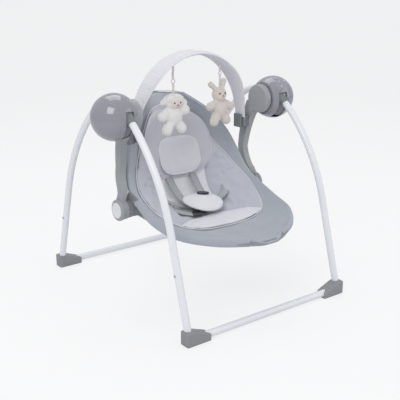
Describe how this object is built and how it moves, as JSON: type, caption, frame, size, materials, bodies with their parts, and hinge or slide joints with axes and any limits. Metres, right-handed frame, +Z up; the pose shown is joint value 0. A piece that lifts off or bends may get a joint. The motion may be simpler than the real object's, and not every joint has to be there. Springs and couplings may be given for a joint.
{
  "type": "baby swing",
  "caption": "Folding baby swing with a reclining padded bucket seat, harness, arched bar with hanging soft toys and a magnet drive in the hub.",
  "frame": {"origin": "centre of the bounding box, on the floor under the feet", "axes": "+X towards the hub with the controls, -Y is the front where the feet of the baby point, +Z up"},
  "size_m": [0.704, 0.7262, 0.706],
  "materials": {
    "white_enamel": "gloss",
    "grey_rubber": "matte",
    "steel": "satin",
    "hub_grey": "gloss",
    "mechanism_grey": "matte",
    "bearing_white": "satin",
    "button_white": "satin",
    "magnet_steel": "polished",
    "copper_wire": "satin",
    "board_green": "satin",
    "speaker_black": "matte",
    "cell_jacket": "gloss",
    "panel_white": "gloss",
    "arm_grey": "satin",
    "dotted_cotton": "matte",
    "cream_plush": "matte",
    "beige_plush": "matte",
    "rim_enamel": "satin",
    "slate_cloth": "matte",
    "lilac_cloth": "matte",
    "pad_cloth": "matte",
    "base_grey": "satin",
    "grey_webbing": "matte",
    "light_padding": "matte",
    "buckle_grey": "satin",
    "buckle_key": "satin"
  },
  "bodies": {
    "rear_frame": {"rear_lower_tube": "white_enamel", "rear_leg_screws": "steel", "hub_screws": "steel", "axle_bushes": "bearing_white", "battery_door": "hub_grey", "drive_coil": "copper_wire", "circuit_board": "board_green", "speaker": "speaker_black", "battery_tray": "mechanism_grey", "battery_cells": "cell_jacket", "control_panel": "panel_white", "rear_leg_left": "white_enamel", "rear_leg_right": "white_enamel", "rear_foot_left": "grey_rubber", "rear_foot_right": "grey_rubber", "hub_shell_left": "hub_grey", "hub_shell_right": "hub_grey", "hub_cover_left": "hub_grey", "hub_cover_right": "hub_grey"},
    "front_frame": {"front_lower_tube": "white_enamel", "front_leg_screws": "steel", "front_leg_left": "white_enamel", "front_leg_right": "white_enamel", "front_foot_left": "grey_rubber", "front_foot_right": "grey_rubber", "leg_pivot_left": "mechanism_grey", "leg_pivot_right": "mechanism_grey"},
    "swing_frame": {"swing_axles": "steel", "magnet_lever": "mechanism_grey", "drive_magnet": "magnet_steel", "swing_arm_left": "arm_grey", "swing_arm_right": "arm_grey", "recline_cover_left": "arm_grey", "recline_cover_right": "arm_grey", "toy_clip_left": "mechanism_grey", "toy_clip_right": "mechanism_grey"},
    "seat": {"seat_rim": "rim_enamel", "seat_cover": "slate_cloth", "seat_liner": "lilac_cloth", "head_pad": "pad_cloth", "neck_cushion": "pad_cloth", "seat_crossbar": "base_grey", "harness_straps": "grey_webbing", "crotch_strap": "grey_webbing", "crotch_pad": "light_padding", "buckle": "buckle_grey", "seat_bracket_left": "base_grey", "seat_bracket_right": "base_grey"},
    "toy_arch": {"toy_bar": "dotted_cotton"},
    "lamb": {"toy_lamb": "cream_plush"},
    "bunny": {"toy_bunny": "beige_plush"},
    "recline_key_left": {"recline_button_left": "button_white"},
    "recline_key_right": {"recline_button_right": "button_white"},
    "fold_key_left": {"fold_button_left": "button_white"},
    "fold_key_right": {"fold_button_right": "button_white"},
    "power_key": {"power_button": "button_white"},
    "speed_key": {"speed_button": "button_white"},
    "timer_key": {"timer_button": "button_white"},
    "melody_key": {"melody_button": "button_white"},
    "buckle_key": {"buckle_button": "buckle_key"}
  },
  "joints": [
    {"name": "front_frame_fold", "type": "hinge", "parent": "rear_frame", "child": "front_frame", "pos_m": [0, -0.033, 0.55], "axis": [1, 0, 0], "range_deg": [0, 50]},
    {"name": "swing", "type": "hinge", "parent": "rear_frame", "child": "swing_frame", "pos_m": [0, -0.033, 0.55], "axis": [1, 0, 0], "range_deg": [-15, 15]},
    {"name": "seat_recline", "type": "hinge", "parent": "swing_frame", "child": "seat", "pos_m": [0, 0.008, 0.273], "axis": [1, 0, 0], "range_deg": [-15, 0]},
    {"name": "toy_bar_pivot", "type": "hinge", "parent": "swing_frame", "child": "toy_arch", "pos_m": [0, 0.015, 0.48], "axis": [1, 0, 0], "range_deg": [0, 60]},
    {"name": "lamb_swing", "type": "hinge", "parent": "toy_arch", "child": "lamb", "pos_m": [-0.078, -0.012, 0.67407], "axis": [1, 0, 0], "range_deg": [-15, 15]},
    {"name": "bunny_swing", "type": "hinge", "parent": "toy_arch", "child": "bunny", "pos_m": [0.092, -0.012, 0.66571], "axis": [1, 0, 0], "range_deg": [-15, 15]},
    {"name": "recline_button_left_press", "type": "slide", "parent": "swing_frame", "child": "recline_key_left", "axis": [1, 0, 0], "range_m": [0, 0.003], "stiffness_N_per_m": 300},
    {"name": "recline_button_right_press", "type": "slide", "parent": "swing_frame", "child": "recline_key_right", "axis": [-1, 0, 0], "range_m": [0, 0.003], "stiffness_N_per_m": 300},
    {"name": "power_button_press", "type": "slide", "parent": "rear_frame", "child": "power_key", "axis": [0.1846, 0.3682, -0.9112], "range_m": [0, 0.0015], "stiffness_N_per_m": 400},
    {"name": "speed_button_press", "type": "slide", "parent": "rear_frame", "child": "speed_key", "axis": [0.1846, 0.6051, -0.7745], "range_m": [0, 0.0015], "stiffness_N_per_m": 400},
    {"name": "timer_button_press", "type": "slide", "parent": "rear_frame", "child": "timer_key", "axis": [0.1846, 0.7951, -0.5777], "range_m": [0, 0.0015], "stiffness_N_per_m": 400},
    {"name": "melody_button_press", "type": "slide", "parent": "rear_frame", "child": "melody_key", "axis": [-0.0923, 0.613, -0.7846], "range_m": [0, 0.0015], "stiffness_N_per_m": 400},
    {"name": "fold_button_right_press", "type": "slide", "parent": "rear_frame", "child": "fold_key_right", "axis": [0.1846, -0.4914, 0.8511], "range_m": [0, 0.004], "stiffness_N_per_m": 300},
    {"name": "fold_button_left_press", "type": "slide", "parent": "rear_frame", "child": "fold_key_left", "axis": [-0.1846, -0.4914, 0.8511], "range_m": [0, 0.004], "stiffness_N_per_m": 300},
    {"name": "buckle_button_press", "type": "slide", "parent": "seat", "child": "buckle_key", "axis": [0, 1, 0], "range_m": [0, 0.003], "stiffness_N_per_m": 300}
  ]
}
